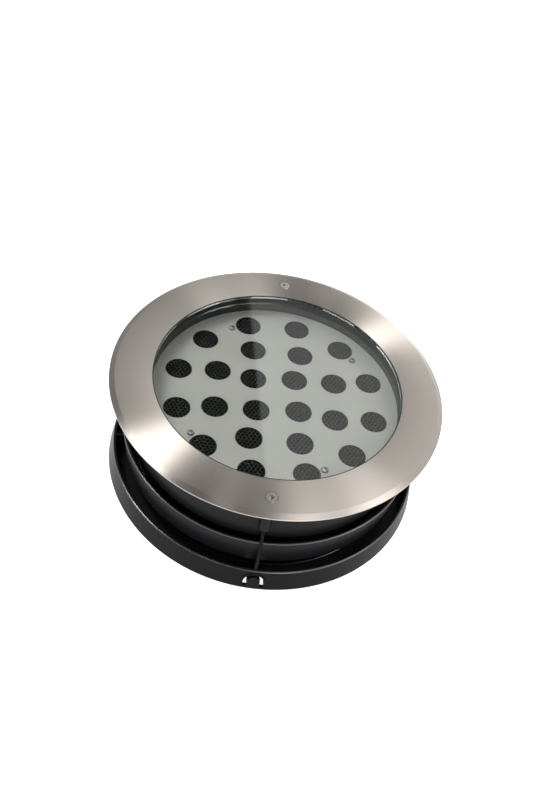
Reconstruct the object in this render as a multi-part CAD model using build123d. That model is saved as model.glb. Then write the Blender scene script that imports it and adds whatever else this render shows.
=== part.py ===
from build123d import *
import math
import os

# In-ground well light: a lamp unit under a stainless trim ring, standing in a moulded sleeve.
# Millimetres. +Z is up, the origin is the middle of the sleeve's foot, and -Y is the side with
# the first ring screw and the sleeve's first tall gusset. Radii follow from the middle outwards,
# from the circles of optics to the sleeve, and levels from the sleeve's top downwards.

# ---------------------------------------------------------------- driving dimensions
# Sleeve: three stepped skirts round a straight well, braced by ribs
SLEEVE_H = 92.6             # foot to the top flange's seat
SLEEVE_WALL = 2.5
DRUM_GAP = 1.5              # upper drum to the lugs on the lamp body
DRUM_RISE = 0.5             # collar's rim up to the drum's lower edge, where it steps in
WELL_GAP = 3.5              # straight lower wall to the lamp body
FLANGE_W = 6.7              # flange beyond the drum
COLLAR_W = 11.3             # middle collar's rim beyond the lower wall
COLLAR_RIM_Z = 46.6
COLLAR_H = 26.1
COLLAR_TAPER = 2.6          # how much narrower the collar is at its foot
SKIRT_W = 21.8              # bottom skirt beyond the lower wall, at the ground
SKIRT_H = 19.3
SKIRT_TAPER = 3.5           # how much narrower the skirt is at its rim
RIB_T = 2.4
SIDE_RIB_ANGLE = 84.75      # from the tall gusset to each low rib
BOSS_R = 4.7
BOSS_H = 31.9

# Tie slot: an arched slot round a tongue in the skirt, in front of each tall gusset
SLOT_W = 16.0
SLOT_Z = 3.2
SLOT_TOP_Z = 15.6
SLOT_GAP = 3.1
SLOT_CORE_L = 9.0           # the hole in the floor behind each leg, left by the mould's core
LIP_STAND = 0.7             # raised lip round the arch
LIP_W = 1.0
LIP_SET = 0.3

# Trim ring and its screws
RING_W = 32.4
RING_T = 3.0
BEVEL_W = 4.2
BEVEL_H = 1.9
BORE_EDGE = 0.4
SEAT_GASKET_T = 1.0
GASKET_SET = 0.4            # seat gasket inside each edge of the flange
SCREW_SET = 0.9             # the screws' axes outside the drum
SCREW_R = 2.5
SCREW_L = 22.0
SCREW_ROOM = 2.0            # free depth past the screw's tip
SCREW_HEAD_R = 4.65
SCREW_HEAD_LAND = 0.3
SOCKET_AF = 3.2
SOCKET_DEPTH = 1.9
INSERT_R = 3.5
INSERT_L = 12.0
INSERT_BAND_H = 4.8
INSERT_WAIST = 0.4          # depth of the waist between the insert's two bands
HEAD_FIT = 0.1
THREAD_FIT = 0.08

# Studs welded under the trim ring, with washers and nuts
STUD_SET = 0.6              # the studs' axes outside the body's rim
STUD_COUNT = 6
M3_R = 1.5
STUD_L = 14.0
NUT_AF = 5.5
NUT_H = 2.4
WASHER_R = 3.0
WASHER_T = 0.5
HOLE_FIT = 0.2

# Glass and its gasket
GLASS_T = 8.0
GLASS_GAP = 0.8             # glass to trim ring bore
GLASS_LEDGE_T = 4.8
GLASS_LEDGE_W = 4.2
GLASS_SEAT_W = 2.4          # the glass's ledge beyond the cavity
GLASS_EDGE = 0.5
GASKET_TOP_T = 1.0
GASKET_WALL = 1.1
GASKET_FOOT_T = 1.2
GASKET_FIT = 0.1

# Lamp body
BODY_WALL = 2.4
RIM_WALL = 2.2
RIM_H = 9.0
RIM_GAP = 0.4               # body rim to the trim ring's underside
LUG_R = 3.3
DECK_T = 3.5
FOOT_CHAMFER = 1.5
CHAMBER_SET = 23.6          # driver chamber inside the cavity's wall
CHAMBER_WALL = 3.0
CHAMBER_H = 20.5
FIN_COUNT = 18
FIN_T = 2.0
FIN_SET = 2.0               # the fins' tips inside the body's wall
FIN_H = 15.0
FIN_TIP_H = 4.0
COVER_LUG_SET = 2.5         # the cover screws' axes outside the chamber
COVER_LUG_R = 4.2
COVER_LUG_COUNT = 6

# Shield panel and its optics
PANEL_DEPTH = 12.6          # glass underside to the panel's face
PANEL_T = 1.5
PANEL_FIT = 0.4
PANEL_TURN = -10.25         # the hole pattern's turn from the line of the ring screws
PANEL_EDGE = 18.4           # outer circle of optics to the panel's edge
INNER_PITCH_R = 23.6        # the three circles of optics
MIDDLE_STEP = 27.4
OUTER_STEP = 28.8
INNER_COUNT = 4
MIDDLE_COUNT = 8
OUTER_COUNT = 12
INNER_START = 62.9          # angle of the first optic of a circle, from the pattern's own line
MIDDLE_START = 34.5
OPTIC_HOLE_R = 10.4
PANEL_SCREW_ANGLE = 49.5
STANDOFF_H = 17.7
STANDOFF_AF = 5.5
STANDOFF_BORE = 8.0
M3_HEAD_R = 2.75
M3_HEAD_H = 1.9
PANEL_SCREW_L = 6.0
LOUVRE_H = 6.6
LOUVRE_FIT = 0.2
CELL_AF = 5.6               # the honeycomb is drawn with seven large cells
CELL_WALL = 0.5
HOLDER_R = 10.3             # to the flats of the eight-sided holder
HOLDER_SIDES = 8
HOLDER_WALL = 0.8
HOLDER_H = 12.0
LENS_H = 11.0
LENS_SIDES = 12             # the lenses are drawn twelve-sided, to keep their many copies light
LENS_FIT = 0.1
LENS_FOOT_R = 5.2
LENS_BAND_H = 1.6
LENS_POCKET_R = 3.9
LENS_POCKET_H = 3.6
EMITTER_W = 5.0
EMITTER_T = 0.8
CHIP_W = 3.2
CHIP_T = 0.7

# Board, pad and wiring
BOARD_GAP = 3.6             # board to the cavity's wall
BOARD_T = 1.6
PAD_T = 0.4
PAD_SET = 1.0
BOARD_SCREW_COUNT = 3
DECK_THREAD = 3.0           # depth of the blind threads in the deck
LEAD_HOLE_R = 4.5
GROMMET_FLANGE_R = 6.0
GROMMET_FLANGE_T = 1.2
BOARD_HOLE_R = 6.5
LEAD_R = 0.9
LEAD_PITCH = 3.0
GROMMET_BORE_R = 2.5
CONNECTOR_SIZE = (18.0, 10.0, 5.0)

# Driver and mains connection
DRIVER_W = 56.0
DRIVER_H = 16.5
DRIVER_END_GAP = 11.0       # driver's ears to the chamber's wall
DRIVER_CORNER = 3.0
DRIVER_GAP = 1.5
DRIVER_EAR_L = 12.0
DRIVER_EAR_W = 14.0
DRIVER_EAR_T = 3.0
DRIVER_BOSS_R = 3.6
TERMINAL_SIZE = (30.0, 14.0, 12.0)
INPUT_LEAD_L = 7.0          # driver to the terminal block
TERMINAL_PITCH = 8.0
TERMINAL_SCREW_R = 2.0
TERMINAL_SCREW_H = 4.0
TERMINAL_WIRE_DROP = 5.0    # deck to the mains wires
WIRE_R = 1.2
WIRE_COUNT = 3

# Bottom cover, cable gland and breather
COVER_T = 3.0
GROOVE_FIT = 0.1
COVER_GASKET_W = 1.4
COVER_GASKET_T = 1.0
M4_R = 2.0
M4_HEAD_R = 3.6
M4_HEAD_H = 2.4
COVER_SCREW_L = 12.0
THREAD_ROOM = 1.0           # thread beyond a screw's tip
GLAND_SET = 21.0            # gland's and breather's axes inside the chamber's wall
GLAND_THREAD_R = 8.0
GLAND_BORE_R = 5.0
GLAND_FLANGE_AF = 22.0
GLAND_FLANGE_T = 5.0
GLAND_SOCKET_H = 8.0
GLAND_SOCKET_R = 7.6
GLAND_SEAT_H = 6.0
GLAND_STANDOUT = 5.0        # thread above the cover
GLAND_WASHER_T = 1.0
GLAND_WASHER_R = 10.8
LOCKNUT_AF = 20.0
LOCKNUT_T = 4.0
SEAL_R = 6.4
CABLE_R = 4.0
SEAL_L = 8.0
CAP_AF = 20.0
CAP_H = 12.0
CAP_FLOOR_T = 2.5
CAP_MOUTH_R = 4.6
CAP_EDGE = 1.5
GLAND_FIT = 0.1
VENT_R = 6.0
VENT_AF = 15.0
VENT_HEAD_T = 4.0
VENT_THREAD_L = 7.0
VENT_SLOT_T = 1.4

SMALL_SIDES = 8             # screws, studs and wires are drawn eight-sided, for the same reason

# ---------------------------------------------------------------- levels and radii that follow
middle_pitch_r = INNER_PITCH_R + MIDDLE_STEP
outer_pitch_r = middle_pitch_r + OUTER_STEP
board_screw_pitch_r = (middle_pitch_r + outer_pitch_r) / 2
panel_r = outer_pitch_r + PANEL_EDGE
cavity_r = panel_r + PANEL_FIT
board_r = cavity_r - BOARD_GAP
body_r = cavity_r + BODY_WALL
fin_r = body_r - FIN_SET
chamber_bore_r = cavity_r - CHAMBER_SET
chamber_r = chamber_bore_r + CHAMBER_WALL
groove_mid_r = chamber_bore_r + CHAMBER_WALL / 2
cover_lug_pitch_r = chamber_r + COVER_LUG_SET

ledge_r = cavity_r + GLASS_SEAT_W
glass_r = ledge_r - GLASS_LEDGE_W
ring_bore_r = glass_r + GLASS_GAP
ring_r = ring_bore_r + RING_W
gasket_r = ledge_r + GASKET_WALL
recess_r = gasket_r + GASKET_FIT
rim_r = recess_r + RIM_WALL
stud_pitch_r = rim_r + STUD_SET

drum_bore_r = stud_pitch_r + LUG_R + DRUM_GAP
drum_r = drum_bore_r + SLEEVE_WALL
well_bore_r = body_r + WELL_GAP
well_r = well_bore_r + SLEEVE_WALL
well_mid_r = well_bore_r + SLEEVE_WALL / 2
flange_r = drum_r + FLANGE_W
collar_r = well_r + COLLAR_W
skirt_foot_r = well_r + SKIRT_W
screw_pitch_r = drum_r + SCREW_SET
screw_bore_r = SCREW_R + THREAD_FIT

ring_under_z = SLEEVE_H + SEAT_GASKET_T
ring_top_z = ring_under_z + RING_T
drum_foot_z = COLLAR_RIM_Z + DRUM_RISE
flange_z = SLEEVE_H - SLEEVE_WALL
collar_foot_z = COLLAR_RIM_Z - COLLAR_H
collar_foot_r = collar_r - COLLAR_TAPER
skirt_rim_r = skirt_foot_r - SKIRT_TAPER
insert_z = SLEEVE_H - INSERT_L
screw_tip_z = ring_top_z - SCREW_L

ledge_top_z = ring_under_z - GASKET_TOP_T
glass_z = ledge_top_z - GLASS_LEDGE_T
seat_z = glass_z - GASKET_FOOT_T
rim_top_z = ring_under_z - RIM_GAP
rim_foot_z = rim_top_z - RIM_H

panel_top_z = glass_z - PANEL_DEPTH
panel_z = panel_top_z - PANEL_T
board_top_z = panel_z - STANDOFF_H
board_z = board_top_z - BOARD_T
deck_top_z = board_z - PAD_T
deck_z = deck_top_z - DECK_T
chamber_foot_z = deck_z - CHAMBER_H
holder_top_z = board_top_z + HOLDER_H
lens_r = HOLDER_R - HOLDER_WALL - LENS_FIT
louvre_r = OPTIC_HOLE_R - LOUVRE_FIT
m3_hole_r = M3_R + HOLE_FIT
m4_hole_r = M4_R + HOLE_FIT
m3_thread_r = M3_R + THREAD_FIT
m4_thread_r = M4_R + THREAD_FIT
cover_z = chamber_foot_z - COVER_T
gland_top_z = chamber_foot_z + GLAND_STANDOUT
gland_flange_top_z = cover_z - GLAND_WASHER_T
gland_flange_z = gland_flange_top_z - GLAND_FLANGE_T
socket_z = gland_flange_z - GLAND_SOCKET_H
seal_top_z = socket_z + GLAND_SEAT_H
seal_z = seal_top_z - SEAL_L
cap_z = seal_z - CAP_FLOOR_T

driver_l = 2 * (chamber_bore_r - DRIVER_END_GAP - DRIVER_EAR_L)
terminal_y = DRIVER_W / 2 + INPUT_LEAD_L + TERMINAL_SIZE[1] / 2
gland_y = chamber_bore_r - GLAND_SET
vent_y = -gland_y


# ---------------------------------------------------------------- helpers
def turned(*points):
    """A solid of revolution from its (radius, height) outline."""
    return revolve(Plane.XZ * make_face(Polyline(*points, close=True)), Axis.Z)


def rod(radius, low, high, x=0.0, y=0.0):
    """A round rod or hole along Z from one level to another."""
    return Pos(x, y, low) * extrude(Circle(radius), high - low)


def tube(outer, inner, low, high, x=0.0, y=0.0):
    return rod(outer, low, high, x, y) - rod(inner, low, high, x, y)


def prism(flat_r, sides, low, high):
    """A regular prism along Z, from its radius to the flats."""
    return Pos(0, 0, low) * extrude(RegularPolygon(flat_r, sides, major_radius=False), high - low)


def hexagon(across_flats, low, high):
    return prism(across_flats / 2, 6, low, high)


def stick(radius, low, high, x=0.0, y=0.0):
    """A small rod along Z with flat sides, inside the given radius."""
    return Pos(x, y, low) * extrude(RegularPolygon(radius, SMALL_SIDES), high - low)


def web(thickness, *points):
    """A plate in the XZ plane from its (radius, height) outline, centred on that plane."""
    return extrude(Plane.XZ * make_face(Polyline(*points, close=True)), thickness / 2, both=True)


def around(shape, radius, count, start=0.0):
    """Copies of a shape on a pitch circle, each turned with its place."""
    return [place * shape for place in PolarLocations(radius, count, start)]


def optics(shape):
    """Copies of a shape on all three circles of optics."""
    outer = around(shape, outer_pitch_r, OUTER_COUNT, PANEL_TURN)
    middle = around(shape, middle_pitch_r, MIDDLE_COUNT, MIDDLE_START + PANEL_TURN)
    return outer + middle + around(shape, INNER_PITCH_R, INNER_COUNT, INNER_START + PANEL_TURN)


def panel_corners(shape):
    """Copies of a shape at the panel's four screws, on the outer circle of optics in mirrored pairs."""
    angles = (PANEL_SCREW_ANGLE, 180 - PANEL_SCREW_ANGLE)
    signed = [sign * angle + PANEL_TURN for angle in angles for sign in (1, -1)]
    return [Rot(0, 0, angle) * Pos(outer_pitch_r, 0, 0) * shape for angle in signed]


def ring_screw_places(shape):
    """Copies of a shape on the two ring screws' axes, the first one at -Y."""
    return around(shape, screw_pitch_r, 2, -90)


def pan_screw(radius, head_r, head_h, length, seat, up=1):
    """A pan-head screw whose head sits on the level seat; its shank goes down, or up if up is -1."""
    screw = stick(head_r, 0, head_h) + stick(radius, -length, 0)
    return Pos(0, 0, seat) * (screw if up == 1 else Rot(180, 0, 0) * screw)


def save(name, shape):
    """One STEP file for one named piece, or for a group of like solids."""
    if isinstance(shape, list):
        shape = Compound(children=shape)
    export_step(shape, f"parts/{name}.step")


# ---------------------------------------------------------------- sleeve
def arch(half_width, low, high):
    """A round-topped doorway outline in the XZ plane."""
    spring = high - half_width
    sides = Polyline((-half_width, spring), (-half_width, low), (half_width, low), (half_width, spring))
    return make_face(sides + ThreePointArc((half_width, spring), (0, high), (-half_width, spring)))


def toward_front(face):
    """A face in the XZ plane, extruded out through the skirt's -Y side."""
    depth = skirt_foot_r - well_r
    return Pos(0, -well_r - SLEEVE_WALL, 0) * extrude(Plane.XZ * face, depth)


def skirt_r(z):
    """The skirt's outer radius at a height."""
    return skirt_foot_r - SKIRT_TAPER * z / SKIRT_H


def make_sleeve():
    wall = SLEEVE_WALL
    well = turned(
        (well_bore_r, 0), (well_r, 0), (well_r, collar_foot_z), (collar_foot_r, collar_foot_z),
        (collar_r, COLLAR_RIM_Z), (collar_r - wall, COLLAR_RIM_Z),
        (collar_foot_r - wall, collar_foot_z + wall), (well_r, collar_foot_z + wall), (well_r, drum_foot_z),
        (drum_r, drum_foot_z), (drum_r, flange_z), (flange_r, flange_z), (flange_r, SLEEVE_H),
        (drum_bore_r, SLEEVE_H), (drum_bore_r, drum_foot_z + wall), (well_bore_r, drum_foot_z + wall))
    skirt = turned((well_mid_r, 0), (skirt_foot_r, 0), (skirt_rim_r, SKIRT_H), (skirt_rim_r - wall, SKIRT_H),
                   (skirt_r(wall) - wall, wall), (well_mid_r, wall))
    foot = (skirt_foot_r - wall / 2, 0)
    rim = (skirt_rim_r - wall / 2, SKIRT_H)
    low_rib = web(RIB_T, (well_mid_r, 0), foot, rim, (well_mid_r, SKIRT_H))
    boss_foot_z = SLEEVE_H - BOSS_H
    drum_mid_r = drum_r - wall / 2
    in_step = drum_foot_z + wall / 2
    gusset = web(RIB_T, (well_mid_r, 0), foot, rim, (collar_r + LIP_W, COLLAR_RIM_Z),
                 (screw_pitch_r, boss_foot_z), (drum_mid_r, boss_foot_z), (drum_mid_r, in_step),
                 (well_mid_r, in_step))
    boss = rod(BOSS_R, boss_foot_z, SLEEVE_H)
    ribs = [Rot(0, 0, side) * gusset for side in (-90, 90)]
    ribs += [Rot(0, 0, -90 + side * SIDE_RIB_ANGLE) * low_rib for side in (-1, 1)]
    sleeve = well + skirt + ribs + ring_screw_places(boss)

    # Tie slots with a raised lip that follows the skirt's slope
    half = SLOT_W / 2
    lip_shell = turned((skirt_foot_r - wall / 2, 0), (skirt_foot_r + LIP_STAND, 0),
                       (skirt_rim_r + LIP_STAND, SKIRT_H), (skirt_rim_r - wall / 2, SKIRT_H))
    set_out = half + LIP_SET
    lip_face = (arch(set_out + LIP_W, SLOT_Z, SLOT_TOP_Z + LIP_SET + LIP_W)
                - arch(set_out, SLOT_Z, SLOT_TOP_Z + LIP_SET))
    lip = toward_front(lip_face) & lip_shell
    slot = toward_front(arch(half, SLOT_Z, SLOT_TOP_Z) - arch(half - SLOT_GAP, SLOT_Z, SLOT_TOP_Z - SLOT_GAP))
    behind = web(RIB_T, (0, 0), (skirt_foot_r - wall, 0), (skirt_rim_r - wall, SKIRT_H), (0, SKIRT_H))
    slot -= Rot(0, 0, -90) * behind
    leg_x = half - SLOT_GAP / 2
    core_y = -(skirt_r(wall) - wall - SLOT_CORE_L / 2)
    for x in (-leg_x, leg_x):
        slot += Pos(x, core_y, 0) * extrude(Rectangle(SLOT_GAP, SLOT_CORE_L), wall)
    for side in (0, 180):
        sleeve = sleeve + Rot(0, 0, side) * lip - Rot(0, 0, side) * slot

    bores = ring_screw_places(rod(INSERT_R, insert_z, SLEEVE_H))
    bores += ring_screw_places(rod(screw_bore_r + HOLE_FIT, screw_tip_z - SCREW_ROOM, insert_z))
    return sleeve - bores


def make_insert():
    """Knurled brass insert, drawn with a waist between its two knurled bands."""
    waist_r = INSERT_R - INSERT_WAIST
    low, high = insert_z + INSERT_BAND_H, SLEEVE_H - INSERT_BAND_H
    return turned((screw_bore_r, insert_z), (INSERT_R, insert_z), (INSERT_R, low), (waist_r, low),
                  (waist_r, high), (INSERT_R, high), (INSERT_R, SLEEVE_H), (screw_bore_r, SLEEVE_H))


# ---------------------------------------------------------------- trim ring and its fastenings
def countersink(fit):
    """The head's shape, grown by a fit, from the top face down to the shank."""
    land_z = ring_top_z - SCREW_HEAD_LAND
    neck_z = land_z - (SCREW_HEAD_R - SCREW_R)
    return turned((0, neck_z - fit), (SCREW_R + fit, neck_z - fit), (SCREW_HEAD_R + fit, land_z - fit),
                  (SCREW_HEAD_R + fit, ring_top_z), (0, ring_top_z))


def make_trim_ring():
    edge_z = ring_top_z - BEVEL_H
    ring = turned((ring_bore_r, ring_under_z), (ring_r, ring_under_z), (ring_r, edge_z),
                  (ring_r - BEVEL_W, ring_top_z), (ring_bore_r + BORE_EDGE, ring_top_z),
                  (ring_bore_r, ring_top_z - BORE_EDGE))
    hole = countersink(HEAD_FIT) + rod(SCREW_R + HOLE_FIT, ring_under_z, ring_top_z)
    return ring - ring_screw_places(hole)


def make_ring_screw():
    screw = countersink(0) + rod(SCREW_R, screw_tip_z, ring_top_z - SCREW_HEAD_LAND)
    return screw - hexagon(SOCKET_AF, ring_top_z - SOCKET_DEPTH, ring_top_z)


def make_seat_gasket():
    ring = tube(flange_r - GASKET_SET, drum_bore_r + GASKET_SET, SLEEVE_H, ring_under_z)
    return ring - ring_screw_places(rod(SCREW_R + HOLE_FIT, SLEEVE_H, ring_under_z))


# ---------------------------------------------------------------- glass and gasket
def make_glass():
    top_z = glass_z + GLASS_T
    return turned((0, glass_z), (ledge_r, glass_z), (ledge_r, ledge_top_z), (glass_r, ledge_top_z),
                  (glass_r, top_z - GLASS_EDGE), (glass_r - GLASS_EDGE, top_z), (0, top_z))


def make_glass_gasket():
    """U-section silicone: a lip above the ledge, a wall round it and a foot under it."""
    inner_top_r = ring_bore_r + GASKET_SET
    return turned((cavity_r, seat_z), (gasket_r, seat_z), (gasket_r, ring_under_z),
                  (inner_top_r, ring_under_z), (inner_top_r, ledge_top_z), (ledge_r, ledge_top_z),
                  (ledge_r, glass_z), (cavity_r, glass_z))


# ---------------------------------------------------------------- lamp body
def make_lamp_body():
    shell = turned(
        (0, deck_z), (chamber_bore_r, deck_z), (chamber_bore_r, chamber_foot_z), (chamber_r, chamber_foot_z),
        (chamber_r, deck_z), (body_r - FOOT_CHAMFER, deck_z), (body_r, deck_z + FOOT_CHAMFER),
        (body_r, rim_foot_z), (rim_r, rim_foot_z), (rim_r, rim_top_z), (recess_r, rim_top_z),
        (recess_r, seat_z), (cavity_r, seat_z), (cavity_r, deck_top_z), (0, deck_top_z))
    in_deck = deck_z + DECK_T / 2
    fin_foot_z = deck_z - FIN_H
    fin = web(FIN_T, (chamber_bore_r + FIN_T, in_deck), (chamber_bore_r + FIN_T, fin_foot_z),
              (chamber_r, fin_foot_z), (fin_r, deck_z - FIN_TIP_H), (fin_r, in_deck))
    fins = around(fin, 0, FIN_COUNT, 180 / FIN_COUNT)
    lug = rod(LUG_R, rim_foot_z, rim_top_z) - rod(recess_r, rim_foot_z, rim_top_z, x=-stud_pitch_r)
    lugs = around(lug, stud_pitch_r, STUD_COUNT)
    cover_lugs = around(rod(COVER_LUG_R, chamber_foot_z, in_deck), cover_lug_pitch_r, COVER_LUG_COUNT)
    cover_lugs = [lug - rod(chamber_bore_r, chamber_foot_z, deck_z) for lug in cover_lugs]
    bosses = [rod(DRIVER_BOSS_R, deck_z - DRIVER_GAP, in_deck, x) for x in driver_screw_xs()]
    body = shell + fins + lugs + cover_lugs + bosses

    holes = around(rod(m3_hole_r, rim_foot_z, rim_top_z), stud_pitch_r, STUD_COUNT)
    thread_top_z = cover_z + COVER_SCREW_L + THREAD_ROOM
    holes += around(rod(m4_thread_r, chamber_foot_z, thread_top_z), cover_lug_pitch_r, COVER_LUG_COUNT)
    blind_thread = rod(m3_thread_r, deck_top_z - DECK_THREAD, deck_top_z)
    holes += around(blind_thread, board_screw_pitch_r, BOARD_SCREW_COUNT) + panel_corners(blind_thread)
    holes += [rod(m3_thread_r, deck_z - DRIVER_GAP, deck_z + DECK_THREAD, x) for x in driver_screw_xs()]
    groove_half = COVER_GASKET_W / 2 + GROOVE_FIT
    holes += [tube(groove_mid_r + groove_half, groove_mid_r - groove_half,
                   chamber_foot_z, chamber_foot_z + COVER_GASKET_T), rod(LEAD_HOLE_R, deck_z, deck_top_z)]
    return body - holes


# ---------------------------------------------------------------- optics
def make_panel():
    panel = rod(panel_r, panel_z, panel_top_z)
    screw_holes = panel_corners(rod(m3_hole_r, panel_z, panel_top_z))
    return panel - optics(rod(OPTIC_HOLE_R, panel_z, panel_top_z)) - screw_holes


def make_louvre():
    """Anti-glare honeycomb: a short black drum with hexagonal cells right through it."""
    body = rod(louvre_r, holder_top_z, holder_top_z + LOUVRE_H)
    cell = hexagon(CELL_AF, holder_top_z, holder_top_z + LOUVRE_H)
    return body - cell - around(Rot(0, 0, 30) * cell, CELL_AF + CELL_WALL, 6)


def make_lens_holder():
    """Eight-sided tube that stands on the board round a lens and carries the louvre on its rim."""
    outside = prism(HOLDER_R, HOLDER_SIDES, board_top_z, holder_top_z)
    return outside - prism(HOLDER_R - HOLDER_WALL, HOLDER_SIDES, board_top_z, holder_top_z)


def make_lens():
    """Collimator: a cone that widens to a short band, with a pocket over the emitter."""
    band_z = board_top_z + LENS_H - LENS_BAND_H
    foot = Pos(0, 0, board_top_z) * RegularPolygon(LENS_FOOT_R, LENS_SIDES)
    shoulder = Pos(0, 0, band_z) * RegularPolygon(lens_r, LENS_SIDES)
    lens = loft([foot, shoulder], ruled=True) + extrude(shoulder, LENS_BAND_H)
    return lens - prism(LENS_POCKET_R, SMALL_SIDES, board_top_z, board_top_z + LENS_POCKET_H)


def make_emitter():
    """A ceramic base with the phosphor-coated chip on it."""
    base = Pos(0, 0, board_top_z) * extrude(Rectangle(EMITTER_W, EMITTER_W), EMITTER_T)
    return base + Pos(0, 0, board_top_z + EMITTER_T) * extrude(Rectangle(CHIP_W, CHIP_W), CHIP_T)


def make_standoff():
    """Hexagonal brass pillar with a threaded stud below and a threaded bore above."""
    pillar = hexagon(STANDOFF_AF, board_top_z, panel_z)
    stud = stick(M3_R, deck_top_z - DECK_THREAD + HOLE_FIT, board_top_z)
    return pillar + stud - stick(m3_thread_r, panel_z - STANDOFF_BORE, panel_z)


# ---------------------------------------------------------------- board and wiring
def make_plate(radius, low, high):
    """A round board or pad with the deck's screw, pillar and lead holes."""
    holes = around(rod(m3_hole_r, low, high), board_screw_pitch_r, BOARD_SCREW_COUNT)
    holes += panel_corners(rod(m3_hole_r, low, high))
    return tube(radius, BOARD_HOLE_R, low, high) - holes


def make_grommet():
    """Rubber bush pushed into the deck from above, with a flange that rests on the deck."""
    high = deck_top_z + GROMMET_FLANGE_T
    return turned((GROMMET_BORE_R, deck_z), (LEAD_HOLE_R, deck_z), (LEAD_HOLE_R, deck_top_z),
                  (GROMMET_FLANGE_R, deck_top_z), (GROMMET_FLANGE_R, high), (GROMMET_BORE_R, high))


def lead_xs():
    return (-LEAD_PITCH / 2, LEAD_PITCH / 2)


def driver_screw_xs():
    reach = driver_l / 2 + DRIVER_EAR_L / 2
    return (-reach, reach)


def wire_xs():
    return [TERMINAL_PITCH * (i - (WIRE_COUNT - 1) / 2) for i in range(WIRE_COUNT)]


def make_connector():
    length, width, height = CONNECTOR_SIZE
    block = Pos(0, 0, board_top_z) * extrude(Rectangle(length, width), height)
    return chamfer(block.edges().group_by(Axis.Z)[-1], height / 6)


def make_driver():
    top_z = deck_z - DRIVER_GAP
    case = extrude(Rectangle(driver_l, DRIVER_W), DRIVER_H)
    case = chamfer(case.edges().filter_by(Axis.Z), DRIVER_CORNER)
    ears = extrude(Rectangle(driver_l + 2 * DRIVER_EAR_L, DRIVER_EAR_W), DRIVER_EAR_T)
    driver = Pos(0, 0, top_z - DRIVER_H) * case + Pos(0, 0, top_z - DRIVER_EAR_T) * ears
    return driver - [rod(m3_hole_r, top_z - DRIVER_EAR_T, top_z, x) for x in driver_screw_xs()]


def wire_z():
    return deck_z - TERMINAL_WIRE_DROP


def screw_top_z():
    return wire_z() - WIRE_R


def make_terminal_block():
    length, width, height = TERMINAL_SIZE
    block = Pos(0, terminal_y, deck_z - height) * extrude(Rectangle(length, width), height)
    return block - [stick(TERMINAL_SCREW_R + HOLE_FIT, deck_z - height, screw_top_z(), x, terminal_y)
                    for x in wire_xs()]


def make_terminal_screws():
    top_z = screw_top_z()
    return [stick(TERMINAL_SCREW_R, top_z - TERMINAL_SCREW_H, top_z, x, terminal_y) for x in wire_xs()]


def make_input_leads():
    lead = Rot(-90, 0, 0) * stick(WIRE_R, 0, INPUT_LEAD_L)
    return [Pos(x, DRIVER_W / 2, wire_z()) * lead for x in wire_xs()]


# ---------------------------------------------------------------- cover, gland and breather
def make_cover():
    cover = rod(chamber_r, cover_z, chamber_foot_z)
    cover += around(rod(COVER_LUG_R, cover_z, chamber_foot_z), cover_lug_pitch_r, COVER_LUG_COUNT)
    holes = around(rod(m4_hole_r, cover_z, chamber_foot_z), cover_lug_pitch_r, COVER_LUG_COUNT)
    holes += [rod(GLAND_THREAD_R + GLAND_FIT, cover_z, chamber_foot_z, y=gland_y),
              rod(VENT_R + GLAND_FIT, cover_z, chamber_foot_z, y=vent_y)]
    return cover - holes


def make_gland_body():
    body = hexagon(GLAND_FLANGE_AF, gland_flange_z, gland_flange_top_z)
    body += rod(GLAND_THREAD_R, gland_flange_z, gland_top_z) + rod(GLAND_SOCKET_R, socket_z, gland_flange_z)
    return body - rod(GLAND_BORE_R, seal_top_z, gland_top_z) - rod(SEAL_R, socket_z, seal_top_z)


def make_gland_cap():
    """Domed hexagonal nut: a threaded bore over the socket and a floor that squeezes the seal."""
    top_z = cap_z + CAP_H
    dome = turned((0, cap_z), (CAP_AF / 2 - CAP_EDGE, cap_z), (CAP_AF / math.sqrt(3), cap_z + 2 * CAP_EDGE),
                  (CAP_AF / math.sqrt(3), top_z), (0, top_z))
    cap = dome & hexagon(CAP_AF, cap_z, top_z)
    return (cap - rod(GLAND_SOCKET_R + THREAD_FIT, socket_z, top_z) - rod(SEAL_R, seal_z, socket_z)
            - rod(CAP_MOUTH_R, cap_z, seal_z))


def make_vent():
    """Breather plug: a hexagonal head with a cross of vent slots over its membrane, on a short thread."""
    head = hexagon(VENT_AF, cover_z - VENT_HEAD_T, cover_z)
    slot_h = VENT_HEAD_T / 3
    slot = Pos(0, 0, cover_z - VENT_HEAD_T) * extrude(Rectangle(VENT_AF * 2, VENT_SLOT_T), slot_h)
    return head + rod(VENT_R, cover_z, cover_z + VENT_THREAD_L) - slot - Rot(0, 0, 90) * slot


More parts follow.
